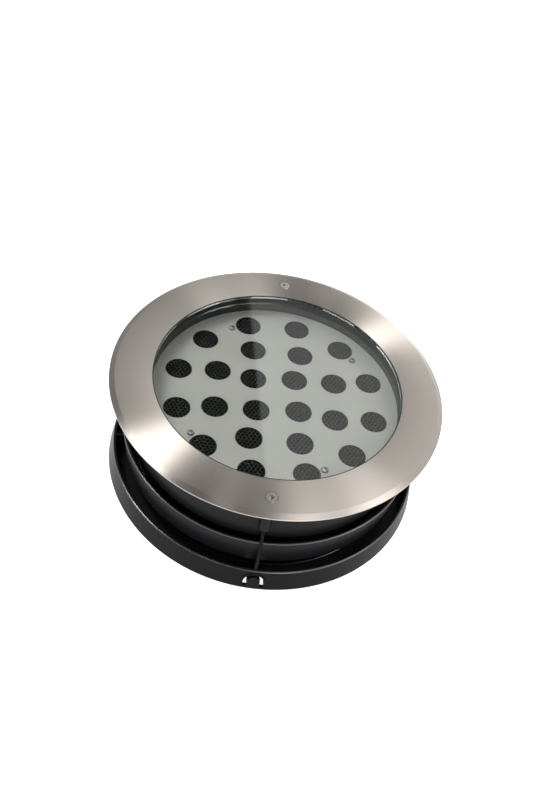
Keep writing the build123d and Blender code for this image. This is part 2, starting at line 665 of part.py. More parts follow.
# ---------------------------------------------------------------- write the pieces
def main():
    os.makedirs("parts", exist_ok=True)

    save("sleeve", make_sleeve())
    save("sleeve_inserts", ring_screw_places(make_insert()))
    save("seat_gasket", make_seat_gasket())
    save("trim_ring", make_trim_ring())
    save("ring_screws", ring_screw_places(make_ring_screw()))

    washer_z = rim_foot_z - WASHER_T
    nut_z = washer_z - NUT_H
    nut = hexagon(NUT_AF, nut_z, washer_z) - stick(m3_thread_r, nut_z, washer_z)
    washer = stick(WASHER_R, washer_z, rim_foot_z) - stick(m3_hole_r, washer_z, rim_foot_z)
    for name, shape in (("trim_studs", stick(M3_R, ring_under_z - STUD_L, ring_under_z)),
                        ("stud_washers", washer), ("stud_nuts", nut)):
        save(name, around(shape, stud_pitch_r, STUD_COUNT))

    save("glass", make_glass())
    save("glass_gasket", make_glass_gasket())
    save("lamp_body", make_lamp_body())

    save("shield_panel", make_panel())
    save("panel_screws", panel_corners(pan_screw(M3_R, M3_HEAD_R, M3_HEAD_H, PANEL_SCREW_L, panel_top_z)))
    save("panel_standoffs", panel_corners(make_standoff()))
    save("honeycomb_louvres", optics(make_louvre()))
    save("lens_holders", optics(make_lens_holder()))
    save("collimator_lenses", optics(make_lens()))
    save("led_emitters", optics(make_emitter()))

    save("led_board", make_plate(board_r, board_z, board_top_z))
    save("thermal_pad", make_plate(board_r - PAD_SET, deck_top_z, board_z))
    board_screw_l = BOARD_T + PAD_T + DECK_THREAD - HOLE_FIT
    board_screw = pan_screw(M3_R, M3_HEAD_R, M3_HEAD_H, board_screw_l, board_top_z)
    save("board_screws", around(board_screw, board_screw_pitch_r, BOARD_SCREW_COUNT))
    save("board_connector", make_connector())
    save("lead_grommet", make_grommet())
    save("led_leads", [stick(LEAD_R, deck_z - DRIVER_GAP, board_top_z, x) for x in lead_xs()])

    save("driver_module", make_driver())
    ear_z = deck_z - DRIVER_GAP - DRIVER_EAR_T
    driver_screw_l = DRIVER_EAR_T + DRIVER_GAP + DECK_THREAD - HOLE_FIT
    driver_screw = pan_screw(M3_R, M3_HEAD_R, M3_HEAD_H, driver_screw_l, ear_z, up=-1)
    save("driver_screws", [Pos(x, 0, 0) * driver_screw for x in driver_screw_xs()])
    save("terminal_block", make_terminal_block())
    save("terminal_screws", make_terminal_screws())
    save("input_leads", make_input_leads())

    save("body_cover", make_cover())
    save("cover_gasket", tube(groove_mid_r + COVER_GASKET_W / 2, groove_mid_r - COVER_GASKET_W / 2,
                              chamber_foot_z, chamber_foot_z + COVER_GASKET_T))
    cover_screw = pan_screw(M4_R, M4_HEAD_R, M4_HEAD_H, COVER_SCREW_L, cover_z, up=-1)
    save("cover_screws", around(cover_screw, cover_lug_pitch_r, COVER_LUG_COUNT))
    at_gland = Pos(0, gland_y, 0)
    save("gland_body", at_gland * make_gland_body())
    washer = tube(GLAND_WASHER_R, GLAND_THREAD_R + GLAND_FIT, gland_flange_top_z, cover_z)
    save("gland_washer", at_gland * washer)
    locknut_z = chamber_foot_z + LOCKNUT_T
    locknut = hexagon(LOCKNUT_AF, chamber_foot_z, locknut_z)
    save("gland_locknut", at_gland * (locknut - rod(GLAND_THREAD_R + THREAD_FIT, chamber_foot_z, locknut_z)))
    save("gland_seal", at_gland * tube(SEAL_R, CABLE_R, seal_z, seal_top_z))
    save("gland_cap", at_gland * make_gland_cap())
    save("breather_vent", Pos(0, vent_y, 0) * make_vent())


main()
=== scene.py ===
import math

import bmesh
import bpy
from mathutils import Matrix, Vector


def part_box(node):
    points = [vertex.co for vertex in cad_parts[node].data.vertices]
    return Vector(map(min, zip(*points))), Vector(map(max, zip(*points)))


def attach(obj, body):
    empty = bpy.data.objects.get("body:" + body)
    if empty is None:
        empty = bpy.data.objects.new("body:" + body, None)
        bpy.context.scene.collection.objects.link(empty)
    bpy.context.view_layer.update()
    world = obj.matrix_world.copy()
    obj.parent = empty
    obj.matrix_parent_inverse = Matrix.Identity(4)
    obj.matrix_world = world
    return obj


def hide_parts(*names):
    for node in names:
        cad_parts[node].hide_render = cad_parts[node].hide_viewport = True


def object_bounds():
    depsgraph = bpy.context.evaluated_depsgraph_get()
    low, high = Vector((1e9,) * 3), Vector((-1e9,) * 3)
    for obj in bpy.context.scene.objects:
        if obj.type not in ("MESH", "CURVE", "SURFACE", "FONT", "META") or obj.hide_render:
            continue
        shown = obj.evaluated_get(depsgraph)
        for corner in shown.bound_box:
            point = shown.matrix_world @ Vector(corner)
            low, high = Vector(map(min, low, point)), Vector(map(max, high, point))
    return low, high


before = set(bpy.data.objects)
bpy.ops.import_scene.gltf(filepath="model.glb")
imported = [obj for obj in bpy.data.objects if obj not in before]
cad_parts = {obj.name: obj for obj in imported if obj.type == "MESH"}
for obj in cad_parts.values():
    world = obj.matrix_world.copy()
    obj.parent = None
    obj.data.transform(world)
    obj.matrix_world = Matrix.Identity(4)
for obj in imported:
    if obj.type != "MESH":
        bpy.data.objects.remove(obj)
cad_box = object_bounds()

# ------------------------------------------------------------------ white ground and studio
# A seamless white ground under and round the light, as in a catalogue picture. It looks pure
# white to the camera and in mirrors and glass, and keeps a faint shadow of the sleeve.
GROUND_SIZE = 6.0
GROUND_DROP = 0.0002       # how far it lies under the sleeve's foot
GROUND_COLOR = (0.8, 0.8, 0.8)
GROUND_GLOW = 0.9          # the share of the ground's white that a shadow can't darken
STUDIO_FILL = 0.55         # level light from all round
STUDIO_TONES = ((0.0, 1.0), (0.25, 0.58), (0.7, 0.45), (1.0, 0.26))   # height of a direction, level
LEFT_GAIN, LEFT_X = 0.25, (-0.3, 0.15)            # how bright the studio's left is beside its middle,
RIGHT_GAIN, RIGHT_X = 5.0, (0.08, 0.3)            # and its right, and where the one goes over to the other
FAR_RIGHT_GAIN, FAR_RIGHT_X = 0.22, (0.4, 0.62)
CARD_LEVEL = 0.68          # the white card behind, mirrored by the glass's right part
FLAG_LEVEL = 0.02          # the dark gap beside it
CARD_EDGE = (0.9708, 0.1300, -0.2014)     # normal of the plane that parts them
CARD_BLUR = 0.003
GAP_REACH, CARD_REACH = 0.17, 0.12        # how far the gap and the card go to its two sides
CARD_NEAR_Y, CARD_FOOT_Z = (0.25, 0.5), (0.25, 0.4)       # where both begin, behind and above

scene = bpy.context.scene
scene.view_settings.view_transform = "Standard"


def new_material(name):
    """An empty node material with its output, to be wired by its own section."""
    material = bpy.data.materials.new(name)
    material.use_nodes = True
    return material, material.node_tree.nodes, material.node_tree.links


def seen_ray(nodes, links):
    """Is Camera, Glossy and Transmission Ray added up: what is looked at, not what is lit."""
    path = nodes.new("ShaderNodeLightPath")
    seen = path.outputs["Is Camera Ray"]
    for ray in ("Is Glossy Ray", "Is Transmission Ray"):
        add = nodes.new("ShaderNodeMath")
        add.operation = "ADD"
        add.use_clamp = True
        links.new(seen, add.inputs[0])
        links.new(path.outputs[ray], add.inputs[1])
        seen = add.outputs[0]
    return seen


ground_white, nodes, links = new_material("ground_white")
shader = nodes["Principled BSDF"]
shader.inputs["Base Color"].default_value = (*GROUND_COLOR, 1)
shader.inputs["Roughness"].default_value = 1.0
shader.inputs["Specular IOR Level"].default_value = 0.0
shader.inputs["Emission Color"].default_value = (1, 1, 1, 1)
glow = nodes.new("ShaderNodeMath")
glow.operation = "MULTIPLY"
glow.inputs[1].default_value = GROUND_GLOW
links.new(seen_ray(nodes, links), glow.inputs[0])
links.new(glow.outputs[0], shader.inputs["Emission Strength"])

bm = bmesh.new()
bmesh.ops.create_grid(bm, x_segments=1, y_segments=1, size=GROUND_SIZE / 2)
mesh = bpy.data.meshes.new("ground")
bm.to_mesh(mesh)
bm.free()
mesh.materials.append(ground_white)
ground = bpy.data.objects.new("ground", mesh)
ground.location.z = cad_box[0].z - GROUND_DROP
scene.collection.objects.link(ground)

world = bpy.data.worlds.new("studio")
scene.world = world
world.use_nodes = True
nodes, links = world.node_tree.nodes, world.node_tree.links
background = nodes["Background"]
background.inputs["Color"].default_value = (1, 1, 1, 1)
direction = nodes.new("ShaderNodeTexCoord").outputs["Generated"]


def ramp(source, span, low, high):
    """A soft step from one level to another over a span of the source."""
    step = nodes.new("ShaderNodeMapRange")
    step.interpolation_type = "SMOOTHSTEP"
    for name, value in (("From Min", span[0]), ("From Max", span[1]), ("To Min", low), ("To Max", high)):
        step.inputs[name].default_value = value
    links.new(source, step.inputs["Value"])
    return step.outputs["Result"]


def product(first, *others):
    """Multiplies outputs."""
    for other in others:
        times = nodes.new("ShaderNodeMath")
        times.operation = "MULTIPLY"
        links.new(first, times.inputs[0])
        links.new(other, times.inputs[1])
        first = times.outputs[0]
    return first


def blend(amount, first, second):
    """Mixes two levels, each a number or an output."""
    mix = nodes.new("ShaderNodeMix")
    links.new(amount, mix.inputs["Factor"])
    for source, target in ((first, mix.inputs["A"]), (second, mix.inputs["B"])):
        if isinstance(source, float):
            target.default_value = source
        else:
            links.new(source, target)
    return mix.outputs["Result"]


split = nodes.new("ShaderNodeSeparateXYZ")
links.new(direction, split.inputs[0])
tones = nodes.new("ShaderNodeValToRGB")
for i, (height, level) in enumerate(STUDIO_TONES):
    stop = tones.color_ramp.elements[i] if i < 2 else tones.color_ramp.elements.new(height)
    stop.position, stop.color = height, (level, level, level, 1)
links.new(split.outputs["Z"], tones.inputs["Fac"])
across = nodes.new("ShaderNodeVectorMath")
across.operation = "DOT_PRODUCT"
across.inputs[1].default_value = CARD_EDGE
links.new(direction, across.inputs[0])
on_card = ramp(across.outputs["Value"], (-CARD_BLUR, CARD_BLUR), 0.0, 1.0)
gap_side = ramp(across.outputs["Value"], (-2 * GAP_REACH, -GAP_REACH), 0.0, 1.0)
card_side = ramp(across.outputs["Value"], (CARD_REACH, 2 * CARD_REACH), 1.0, 0.0)
behind = ramp(split.outputs["Y"], CARD_NEAR_Y, 0.0, 1.0)
above = ramp(split.outputs["Z"], CARD_FOOT_Z, 0.0, 1.0)
left = ramp(split.outputs["X"], LEFT_X, LEFT_GAIN, 1.0)
right = ramp(split.outputs["X"], RIGHT_X, 1.0, RIGHT_GAIN)
far_right = ramp(split.outputs["X"], FAR_RIGHT_X, 1.0, FAR_RIGHT_GAIN)
studio = product(tones.outputs["Color"], left, right, far_right)
backdrop = blend(product(gap_side, card_side, behind, above), studio, blend(on_card, FLAG_LEVEL, CARD_LEVEL))
lighting = blend(seen_ray(nodes, links), STUDIO_FILL, backdrop)
camera_ray = nodes.new("ShaderNodeLightPath").outputs["Is Camera Ray"]
links.new(blend(camera_ray, lighting, 1.0), background.inputs["Strength"])


# ------------------------------------------------------------------ camera
# The photographer stands in front of the ring screw, a little to its left, and looks down at
# the light from about half a metre up, with the camera tilted to the side.
VIEW_AZIMUTH = -5.75       # degrees from the light's front, towards -X
VIEW_ELEVATION = 46.84
VIEW_ROLL = 12.12
VIEW_OFFSET = (-0.0095, -0.0146, 0.693)    # right, up and back from the middle of the ring's edge
LENS = 40.18               # on a 36 mm sensor
RING_EDGE_Z = 0.0947

facing = (Matrix.Rotation(math.radians(VIEW_AZIMUTH), 4, "Z")
          @ Matrix.Rotation(math.radians(90 - VIEW_ELEVATION), 4, "X"))
camera = bpy.data.objects.new("camera", bpy.data.cameras.new("camera"))
camera.data.lens = LENS
camera.data.sensor_width = 36.0
camera.matrix_world = (Matrix.Translation((0, 0, RING_EDGE_Z)) @ facing
                       @ Matrix.Rotation(math.radians(VIEW_ROLL), 4, "Z") @ Matrix.Translation(VIEW_OFFSET))
scene.collection.objects.link(camera)
scene.camera = camera


# ------------------------------------------------------------------ lamps
# One soft key lamp high on the left, whose light fans out over the brushed ring, a weak one close
# on the right, a wide one overhead that is kept out of the metal, and a small one that lifts the
# front of the ring's bevel.
LAMP_AIM_Z = 0.05


def soft_lamp(name, place, size, power, mirrored=True):
    """A square lamp that faces the object, placed to the right of, away from and above the camera's line."""
    lamp = bpy.data.lights.new(name, "AREA")
    lamp.size = size
    lamp.energy = power
    holder = bpy.data.objects.new(name, lamp)
    holder.visible_glossy = mirrored
    start = Matrix.Rotation(math.radians(VIEW_AZIMUTH), 4, "Z") @ Vector(place)
    aim = (Vector((0, 0, LAMP_AIM_Z)) - start).to_track_quat("-Z", "Y")
    holder.matrix_world = Matrix.Translation(start) @ aim.to_matrix().to_4x4()
    scene.collection.objects.link(holder)


soft_lamp("key_lamp", (-0.84, 0.22, 1.5), 0.4, 12.0)
soft_lamp("side_lamp", (0.62, -0.12, 0.62), 0.35, 1.4)
soft_lamp("top_lamp", (-0.1, -0.4, 1.7), 0.8, 3.5, mirrored=False)
soft_lamp("glint_lamp", (-0.245, -0.26, 1.72), 0.16, 0.6)


# ------------------------------------------------------------------ sleeve
# The black housing that stays in the ground: one moulding of plastic with three stepped walls
# round a straight well, tall gussets under the ring screws and arched slots for ties.
SLEEVE_COLOR = (0.012, 0.0125, 0.0138)
WALL = 0.0025
WELL_BORE_R, WELL_R = 0.1045, 0.1070
DRUM_BORE_R, DRUM_R, DRUM_FOOT_Z = 0.1098, 0.1123, 0.0471
FLANGE_R = 0.1190
COLLAR_R, COLLAR_FOOT_R, COLLAR_RIM_Z, COLLAR_FOOT_Z = 0.1183, 0.1157, 0.0466, 0.0205
SKIRT_FOOT_R, SKIRT_RIM_R, SKIRT_H = 0.1288, 0.1253, 0.0193
MOULD_EDGE = 0.0008
RIB_T = 0.0024
RIB_DROP = 0.00056         # how far the ribs stay under the skirt's rim, within its rounding
SIDE_RIB_ANGLE = 84.75
SCREW_PITCH_R = 0.1132
BOSS_R, BOSS_H = 0.0047, 0.0319
INSERT_R, INSERT_L = 0.0035, 0.0120
SLOT_W, SLOT_Z, SLOT_TOP_Z, SLOT_GAP, SLOT_CORE_L = 0.0160, 0.0032, 0.0156, 0.0031, 0.0090
LIP_W, LIP_STAND, LIP_SET = 0.0010, 0.0007, 0.0003
LIP_SEGMENTS = 250         # not the skirt's own count, so that no facets of the two coincide
SMOOTH_ANGLE = 14
FRONT, REAR = -90, 90      # the ring screws' angles round Z
NOISE_LOW, NOISE_HIGH = 0.3, 0.7          # the part of a noise's range that carries its pattern
GRAIN_DEPTH = 0.00005


def grain_group():
    """Fine moulding or coating grain: a value between two levels, and a height for bumps."""
    group = bpy.data.node_groups.new("fine_grain", "ShaderNodeTree")
    for name, default in (("Scale", 900.0), ("Low", 0.3), ("High", 0.5)):
        socket = group.interface.new_socket(name, in_out="INPUT", socket_type="NodeSocketFloat")
        socket.default_value = default
    for name in ("Value", "Height"):
        group.interface.new_socket(name, in_out="OUTPUT", socket_type="NodeSocketFloat")
    nodes, links = group.nodes, group.links
    entry, leave = nodes.new("NodeGroupInput"), nodes.new("NodeGroupOutput")
    place = nodes.new("ShaderNodeTexCoord")
    noise = nodes.new("ShaderNodeTexNoise")
    noise.inputs["Detail"].default_value = 3.0
    spread = nodes.new("ShaderNodeMapRange")
    spread.inputs["From Min"].default_value = NOISE_LOW
    spread.inputs["From Max"].default_value = NOISE_HIGH
    links.new(place.outputs["Object"], noise.inputs["Vector"])
    links.new(entry.outputs["Scale"], noise.inputs["Scale"])
    links.new(noise.outputs["Fac"], spread.inputs["Value"])
    links.new(entry.outputs["Low"], spread.inputs["To Min"])
    links.new(entry.outputs["High"], spread.inputs["To Max"])
    links.new(spread.outputs["Result"], leave.inputs["Value"])
    links.new(noise.outputs["Fac"], leave.inputs["Height"])
    return group


fine_grain = grain_group()


def grained(name, color, roughness, metallic=0.0, specular=0.5, grain_scale=900.0, bump=0.1):
    """A plain finish whose gloss and surface vary with the fine grain; roughness is (low, high)."""
    material, nodes, links = new_material(name)
    shader = nodes["Principled BSDF"]
    shader.inputs["Base Color"].default_value = (*color, 1)
    shader.inputs["Metallic"].default_value = metallic
    shader.inputs["Specular IOR Level"].default_value = specular
    grain = nodes.new("ShaderNodeGroup")
    grain.node_tree = fine_grain
    grain.inputs["Scale"].default_value = grain_scale
    grain.inputs["Low"].default_value, grain.inputs["High"].default_value = roughness
    relief = nodes.new("ShaderNodeBump")
    relief.inputs["Strength"].default_value = bump
    relief.inputs["Distance"].default_value = GRAIN_DEPTH
    links.new(grain.outputs["Value"], shader.inputs["Roughness"])
    links.new(grain.outputs["Height"], relief.inputs["Height"])
    links.new(relief.outputs["Normal"], shader.inputs["Normal"])
    return material


def dress(material, *names):
    """Gives CAD nodes whose shape is right their finish."""
    for name in names:
        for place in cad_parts[name].material_slots:
            place.material = material


def lathe(outline, segments=256, closed=True):
    """Spins an outline of (radius, height) points once round Z. An open one ends on the axis."""
    bm = bmesh.new()
    points = [bm.verts.new((r, 0, z)) for r, z in outline]
    links = list(zip(points, points[1:] + points[:1]))
    edges = [bm.edges.new(pair) for pair in (links if closed else links[:-1])]
    bmesh.ops.spin(bm, geom=points + edges, cent=(0, 0, 0), axis=(0, 0, 1), angle=math.tau,
                   steps=segments, use_merge=True)
    bmesh.ops.remove_doubles(bm, verts=bm.verts, dist=1e-7)
    bmesh.ops.recalc_face_normals(bm, faces=bm.faces)
    return bm


def slab(outline, near, far):
    """A plate from its (x, height) outline, reaching along Y from near to far."""
    bm = bmesh.new()
    face = bm.faces.new([bm.verts.new((x, near, z)) for x, z in outline])
    deep = bmesh.ops.extrude_face_region(bm, geom=[face])
    moved = [item for item in deep["geom"] if isinstance(item, bmesh.types.BMVert)]
    bmesh.ops.translate(bm, verts=moved, vec=(0, far - near, 0))
    bmesh.ops.recalc_face_normals(bm, faces=bm.faces)
    return bm


def soften(bm, width, angle=30):
    """Rounds every edge that is sharper than an angle, and returns the faces of the roundings."""
    sharp = [edge for edge in bm.edges if edge.is_manifold and edge.calc_face_angle() > math.radians(angle)]
    rounded = bmesh.ops.bevel(bm, geom=sharp, offset=width, offset_type="OFFSET", affect="EDGES", segments=2,
                              profile=0.5, material=-1, clamp_overlap=True)
    return rounded["faces"]


def mark_edges(mesh):
    """Smooth shading except at real edges."""
    mesh.shade_smooth()
    mesh.set_sharp_from_angle(angle=math.radians(SMOOTH_ANGLE))


def as_object(name, bm):
    """A mesh object at the origin with its edges marked."""
    mesh = bpy.data.meshes.new(name)
    bm.to_mesh(mesh)
    bm.free()
    mark_edges(mesh)
    made = bpy.data.objects.new(name, mesh)
    scene.collection.objects.link(made)
    return made


def join(name, parts):
    """Puts like objects at the origin together as one mesh."""
    bm = bmesh.new()
    for part in parts:
        bm.from_mesh(part.data)
        bpy.data.objects.remove(part)
    return as_object(name, bm)


def cut(made, cutter, operation="DIFFERENCE"):
    """Cuts a made object with another one, or joins or overlaps them; the other one is used up."""
    modifier = made.modifiers.new("cut", "BOOLEAN")
    modifier.operation = operation
    modifier.solver = "EXACT"
    modifier.object = cutter
    bpy.context.view_layer.update()
    whole = made.evaluated_get(bpy.context.evaluated_depsgraph_get())
    mesh = bpy.data.meshes.new_from_object(whole)
    mark_edges(mesh)
    made.modifiers.clear()
    made.data = mesh
    bpy.data.objects.remove(cutter)


def around(name, bm, angles):
    """Copies of a shape turned round Z by the given degrees, as one object."""
    parts = []
    for angle in angles:
        part = bm.copy()
        turn = Matrix.Rotation(math.radians(angle), 3, "Z")
        bmesh.ops.rotate(part, verts=part.verts, cent=(0, 0, 0), matrix=turn)
        parts.append(as_object(name, part))
    bm.free()
    return join(name, parts)


def assemble(made, material, body, slot, *nodes):
    """Gives a piece its finish and the body it moves with, and hides the nodes it stands for; the record slot
    is not used.
    """
    if not made.data.materials:
        made.data.materials.append(material)
    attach(made, body)
    if nodes:
        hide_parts(*nodes)


def arch(half, top, low, band, steps=24):
    """The outline of a round-topped band, like an n, from its outer half width and its top."""
    inner = half - band
    turns = [math.pi * i / steps for i in range(steps + 1)]
    outside = [(-half * math.cos(t), top - half + half * math.sin(t)) for t in turns]
    inside = [(inner * math.cos(t), top - half + inner * math.sin(t)) for t in turns]
    return [(-half, low), *outside, (half, low), (inner, low), *inside, (-inner, low)]


sleeve_top_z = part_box("sleeve")[1].z
floor_r = SKIRT_FOOT_R - WALL - (SKIRT_FOOT_R - SKIRT_RIM_R) * WALL / SKIRT_H
skirt_outline = [(WELL_BORE_R, 0), (SKIRT_FOOT_R, 0), (SKIRT_RIM_R, SKIRT_H), (SKIRT_RIM_R - WALL, SKIRT_H),
                 (floor_r, WALL), (WELL_R, WALL)]
collar_outline = [(WELL_R, COLLAR_FOOT_Z), (COLLAR_FOOT_R, COLLAR_FOOT_Z), (COLLAR_R, COLLAR_RIM_Z),
                  (COLLAR_R - WALL, COLLAR_RIM_Z), (COLLAR_FOOT_R - WALL, COLLAR_FOOT_Z + WALL),
                  (WELL_R, COLLAR_FOOT_Z + WALL)]
drum_outline = [(WELL_R, DRUM_FOOT_Z), (DRUM_R, DRUM_FOOT_Z), (DRUM_R, sleeve_top_z - WALL),
                (FLANGE_R, sleeve_top_z - WALL), (FLANGE_R, sleeve_top_z), (DRUM_BORE_R, sleeve_top_z),
                (DRUM_BORE_R, DRUM_FOOT_Z + WALL), (WELL_BORE_R, DRUM_FOOT_Z + WALL)]
bm = lathe(skirt_outline + collar_outline + drum_outline)
for face in soften(bm, MOULD_EDGE):
    face.material_index = 1
sleeve = as_object("sleeve_moulded", bm)
moulded_black = grained("moulded_black", SLEEVE_COLOR, (0.32, 0.36), specular=0.06, bump=0.01)
polished_edge = grained("polished_edge", SLEEVE_COLOR, (0.22, 0.26), specular=1.0, bump=0.01)
sleeve.data.materials.append(moulded_black)
sleeve.data.materials.append(polished_edge)

# Ribs and gussets stand on the floor between the well and the skirt's rim
well_mid_r, skirt_mid_r, drum_mid_r = WELL_BORE_R + WALL / 2, SKIRT_FOOT_R - WALL / 2, DRUM_R - WALL / 2
rib_top = (SKIRT_RIM_R - WALL / 2, SKIRT_H - RIB_DROP)
boss_foot_z, in_step_z = sleeve_top_z - BOSS_H, DRUM_FOOT_Z + WALL / 2
low_rib = slab([(well_mid_r, WALL / 2), (skirt_mid_r, WALL / 2), rib_top, (well_mid_r, rib_top[1])],
               -RIB_T / 2, RIB_T / 2)
gusset = slab([(well_mid_r, WALL / 2), (skirt_mid_r, WALL / 2), rib_top, (COLLAR_R + LIP_W, COLLAR_RIM_Z),
               (SCREW_PITCH_R, boss_foot_z), (drum_mid_r, boss_foot_z), (drum_mid_r, in_step_z),
               (well_mid_r, in_step_z)], -RIB_T / 2, RIB_T / 2)
boss_top_z = sleeve_top_z - MOULD_EDGE / 4
boss = lathe([(0, boss_foot_z), (BOSS_R, boss_foot_z), (BOSS_R, boss_top_z), (0, boss_top_z)],
             segments=48, closed=False)
for shape in (low_rib, gusset, boss):
    soften(shape, MOULD_EDGE / 2)
bmesh.ops.translate(boss, verts=boss.verts, vec=(SCREW_PITCH_R, 0, 0))
cut(sleeve, around("gussets", gusset, (FRONT, REAR)), "UNION")
cut(sleeve, around("bosses", boss, (FRONT, REAR)), "UNION")
cut(sleeve, around("low_ribs", low_rib, (FRONT - SIDE_RIB_ANGLE, FRONT + SIDE_RIB_ANGLE)), "UNION")

# The arched slot has a raised lip that follows the skirt's slope, and core holes in the floor
reach = (-SKIRT_FOOT_R - WALL, -SKIRT_RIM_R + WALL)
front_and_rear = (0, REAR - FRONT)
lip_half = SLOT_W / 2 + LIP_SET + LIP_W
lip_band = slab(arch(lip_half, SLOT_TOP_Z + LIP_SET + LIP_W, SLOT_Z, LIP_W), *reach)
lips = around("lips", lip_band, front_and_rear)
lip_root = WALL / 3
shell = lathe([(SKIRT_FOOT_R - lip_root, 0), (SKIRT_FOOT_R + LIP_STAND, 0),
               (SKIRT_RIM_R + LIP_STAND, SKIRT_H), (SKIRT_RIM_R - lip_root, SKIRT_H)], segments=LIP_SEGMENTS)
cut(lips, as_object("lip_shell", shell), "INTERSECT")
cut(sleeve, lips, "UNION")
slot_band = slab(arch(SLOT_W / 2, SLOT_TOP_Z, SLOT_Z, SLOT_GAP), *reach)
cut(sleeve, around("slots", slot_band, front_and_rear))
cores = bmesh.new()
core_x = SLOT_W / 2 - SLOT_GAP / 2
for x in (-core_x, core_x):
    bmesh.ops.create_cube(cores, size=1, matrix=Matrix.Translation((x, SLOT_CORE_L / 2 - floor_r, 0))
                          @ Matrix.Diagonal((SLOT_GAP, SLOT_CORE_L, 3 * WALL, 1)))
cut(sleeve, around("cores", cores, front_and_rear))
insert_foot_z = sleeve_top_z - INSERT_L
bore = lathe([(0, insert_foot_z), (INSERT_R, insert_foot_z), (INSERT_R, sleeve_top_z + WALL),
              (0, sleeve_top_z + WALL)], segments=48, closed=False)
bmesh.ops.translate(bore, verts=bore.verts, vec=(SCREW_PITCH_R, 0, 0))
cut(sleeve, around("insert_bores", bore, (FRONT, REAR)))
assemble(sleeve, moulded_black, "sleeve", "sleeve_plastic", "sleeve")


# ------------------------------------------------------------------ trim ring
# The visible rim: a disc of 3 mm stainless steel turned to a ring, brushed round its axis, with
# a low bevel outside and two countersunk holes for the screws that hold it to the sleeve.
RING_BORE_R = 0.0976
RING_COLOR = (0.57, 0.522, 0.476)
RING_GLOSS = (0.345, 0.415)
BRUSH_SCALE, BRUSH_DETAIL = 90.0, 4.0
BRUSH_RINGS = 60.0         # how many times finer the scratches are across than along
BRUSH_TONE = 0.07          # how much lighter and darker they are than the steel
BRUSH_RELIEF, BRUSH_DEPTH = 0.12, 0.00002
BEVEL_W, BEVEL_H = 0.0042, 0.0019
BEVEL_ROUND, BEVEL_ANGLE = 0.00015, 15
BORE_EDGE = 0.0001
COUNTERSINK_R = 0.00480
COUNTERSINK_LAND = 0.0007
SHANK_R = 0.0025
OVERCUT = 0.001            # how far a cutter reaches past the face it cuts


def brushed_round(name, color, roughness):
    """Stainless steel brushed in circles round Z: fine rings of scratches that fade along their length."""
    material, nodes, links = new_material(name)
    shader = nodes["Principled BSDF"]
    shader.inputs["Metallic"].default_value = 1.0
    shader.inputs["Anisotropic"].default_value = 1.0
    shader.inputs["Anisotropic Rotation"].default_value = 0.25
    place = nodes.new("ShaderNodeTexCoord")
    split = nodes.new("ShaderNodeSeparateXYZ")
    flat = nodes.new("ShaderNodeCombineXYZ")
    radius = nodes.new("ShaderNodeVectorMath")
    radius.operation = "LENGTH"
    outward = nodes.new("ShaderNodeVectorMath")
    outward.operation = "NORMALIZE"
    links.new(place.outputs["Object"], split.inputs[0])
    links.new(split.outputs["X"], flat.inputs["X"])
    links.new(split.outputs["Y"], flat.inputs["Y"])
    links.new(flat.outputs[0], radius.inputs[0])
    links.new(flat.outputs[0], outward.inputs[0])
    bearing = nodes.new("ShaderNodeSeparateXYZ")
    links.new(outward.outputs[0], bearing.inputs[0])
    stroke = nodes.new("ShaderNodeCombineXYZ")
    fine = nodes.new("ShaderNodeMath")
    fine.operation = "MULTIPLY"
    fine.inputs[1].default_value = BRUSH_RINGS
    links.new(radius.outputs["Value"], fine.inputs[0])
    links.new(bearing.outputs["X"], stroke.inputs["X"])
    links.new(bearing.outputs["Y"], stroke.inputs["Y"])
    links.new(fine.outputs[0], stroke.inputs["Z"])
    scratches = nodes.new("ShaderNodeTexNoise")
    scratches.inputs["Scale"].default_value = BRUSH_SCALE
    scratches.inputs["Detail"].default_value = BRUSH_DETAIL
    links.new(stroke.outputs[0], scratches.inputs["Vector"])
    gloss = nodes.new("ShaderNodeMapRange")
    gloss.inputs["From Min"].default_value = NOISE_LOW
    gloss.inputs["From Max"].default_value = NOISE_HIGH
    gloss.inputs["To Min"].default_value, gloss.inputs["To Max"].default_value = roughness
    links.new(scratches.outputs["Fac"], gloss.inputs["Value"])
    links.new(gloss.outputs["Result"], shader.inputs["Roughness"])
    tone = nodes.new("ShaderNodeMix")
    tone.data_type = "RGBA"
    tone.inputs["A"].default_value = (*[c * (1 - BRUSH_TONE) for c in color], 1)
    tone.inputs["B"].default_value = (*[c * (1 + BRUSH_TONE) for c in color], 1)
    links.new(scratches.outputs["Fac"], tone.inputs["Factor"])
    links.new(tone.outputs["Result"], shader.inputs["Base Color"])
    relief = nodes.new("ShaderNodeBump")
    relief.inputs["Strength"].default_value = BRUSH_RELIEF
    relief.inputs["Distance"].default_value = BRUSH_DEPTH
    links.new(scratches.outputs["Fac"], relief.inputs["Height"])
    links.new(relief.outputs["Normal"], shader.inputs["Normal"])
    grain_line = nodes.new("ShaderNodeTangent")
    grain_line.direction_type = "RADIAL"
    grain_line.axis = "Z"
    links.new(grain_line.outputs[0], shader.inputs["Tangent"])
    return material


ring_low, ring_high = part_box("trim_ring")
ring_r, ring_foot_z, ring_top_z = ring_high.x, ring_low.z, ring_high.z
bevel_z = ring_top_z - BEVEL_H
bm = lathe([(RING_BORE_R, ring_foot_z), (ring_r, ring_foot_z), (ring_r, bevel_z),
            (ring_r - BEVEL_W, ring_top_z), (RING_BORE_R + BORE_EDGE, ring_top_z),
            (RING_BORE_R, ring_top_z - BORE_EDGE)], segments=384)
soften(bm, BEVEL_ROUND, angle=BEVEL_ANGLE)
trim_ring = as_object("trim_ring_brushed", bm)

